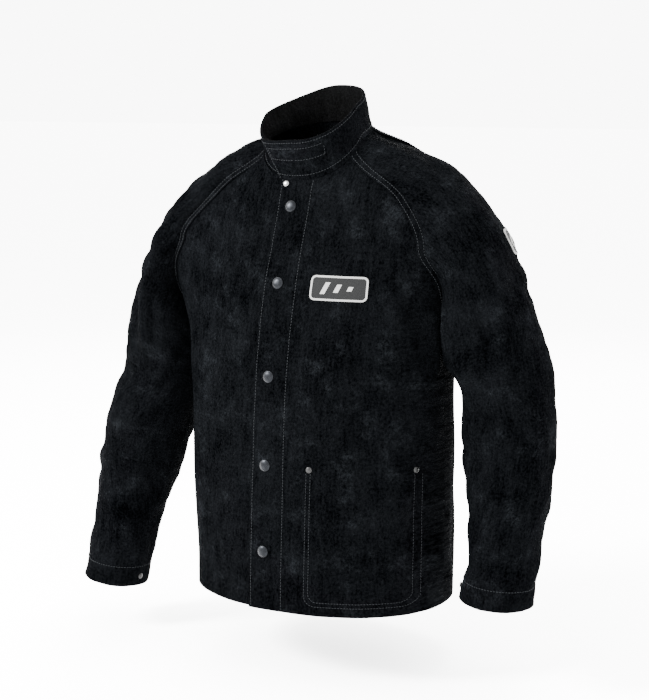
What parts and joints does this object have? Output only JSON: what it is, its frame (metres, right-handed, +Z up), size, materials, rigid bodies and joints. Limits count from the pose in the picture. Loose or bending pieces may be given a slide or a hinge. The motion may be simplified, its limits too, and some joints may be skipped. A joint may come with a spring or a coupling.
{
  "type": "leather welding jacket",
  "caption": "Split-leather welding jacket with raglan sleeves, stand collar with fold-over tab, snap front under a lapped flap, and an inside pocket, shaped as worn.",
  "frame": {"origin": "on the torso's axis at the height where the wearer's shoulders hold the jacket, 690 mm above the hem datum", "axes": "+Z up, -Y the jacket's front, +X towards the wearer's left"},
  "size_m": [0.7723, 0.3167, 0.7868],
  "materials": {
    "split_leather": "near-black split suede, brushed and mottled",
    "leather_lining": "grey-black flesh side of the hide, matte",
    "snap_metal": "gunmetal, satin",
    "rivet_metal": "bright nickel",
    "badge_cloth": "woven patch with a pale border",
    "hook_and_loop": "black hook and loop tape"
  },
  "bodies": {
    "torso": {"back_panel": "split_leather", "right_front_panel": "split_leather", "right_front_facing": "leather_lining", "left_chest_panel": "split_leather", "left_chest_facing": "leather_lining", "left_sleeve": "split_leather", "left_elbow": "split_leather", "right_sleeve": "split_leather", "right_elbow": "split_leather", "collar_stand": "split_leather", "collar_stand_lining": "leather_lining", "collar_loop_patch": "hook_and_loop", "top_snap_cap": "snap_metal", "top_snap_socket": "snap_metal", "snap_studs": "snap_metal", "snap_back_plates": "snap_metal", "neck_rivet": "rivet_metal", "neck_rivet_burr": "rivet_metal", "sleeve_badge": "badge_cloth"},
    "left_front": {"left_front_panel": "split_leather", "left_front_facing": "leather_lining", "inside_pocket": "leather_lining", "snap_caps": "snap_metal", "snap_sockets": "snap_metal", "pocket_rivets": "rivet_metal", "pocket_rivet_burrs": "rivet_metal", "chest_badge": "badge_cloth"},
    "collar_tab": {"collar_tab": "split_leather", "collar_tab_lining": "leather_lining", "collar_hook_patch": "hook_and_loop"},
    "left_forearm": {"left_forearm": "split_leather", "left_cuff_facing": "leather_lining", "left_cuff_rivet": "rivet_metal"},
    "right_forearm": {"right_forearm": "split_leather", "right_cuff_facing": "leather_lining", "right_cuff_rivet": "rivet_metal"}
  },
  "joints": [
    {"name": "front_opening", "type": "hinge", "parent": "torso", "child": "left_front", "pos_m": [0.214, 0, -0.4], "axis": [0, 0, 1], "range_deg": [0, 30]},
    {"name": "collar_tab_fold", "type": "hinge", "parent": "torso", "child": "collar_tab", "pos_m": [-0.016, -0.0665, -0.0335], "axis": [0, -0.182, 0.9833], "range_deg": [0, 65]},
    {"name": "left_elbow_bend", "type": "hinge", "parent": "torso", "child": "left_forearm", "pos_m": [0.31, 0.014, -0.4], "axis": [-1, 0, 0], "range_deg": [0, 45], "deforming": ["left_elbow"]},
    {"name": "right_elbow_bend", "type": "hinge", "parent": "torso", "child": "right_forearm", "pos_m": [-0.291, -0.002, -0.418], "axis": [-1, 0, 0], "range_deg": [0, 45], "deforming": ["right_elbow"]}
  ]
}
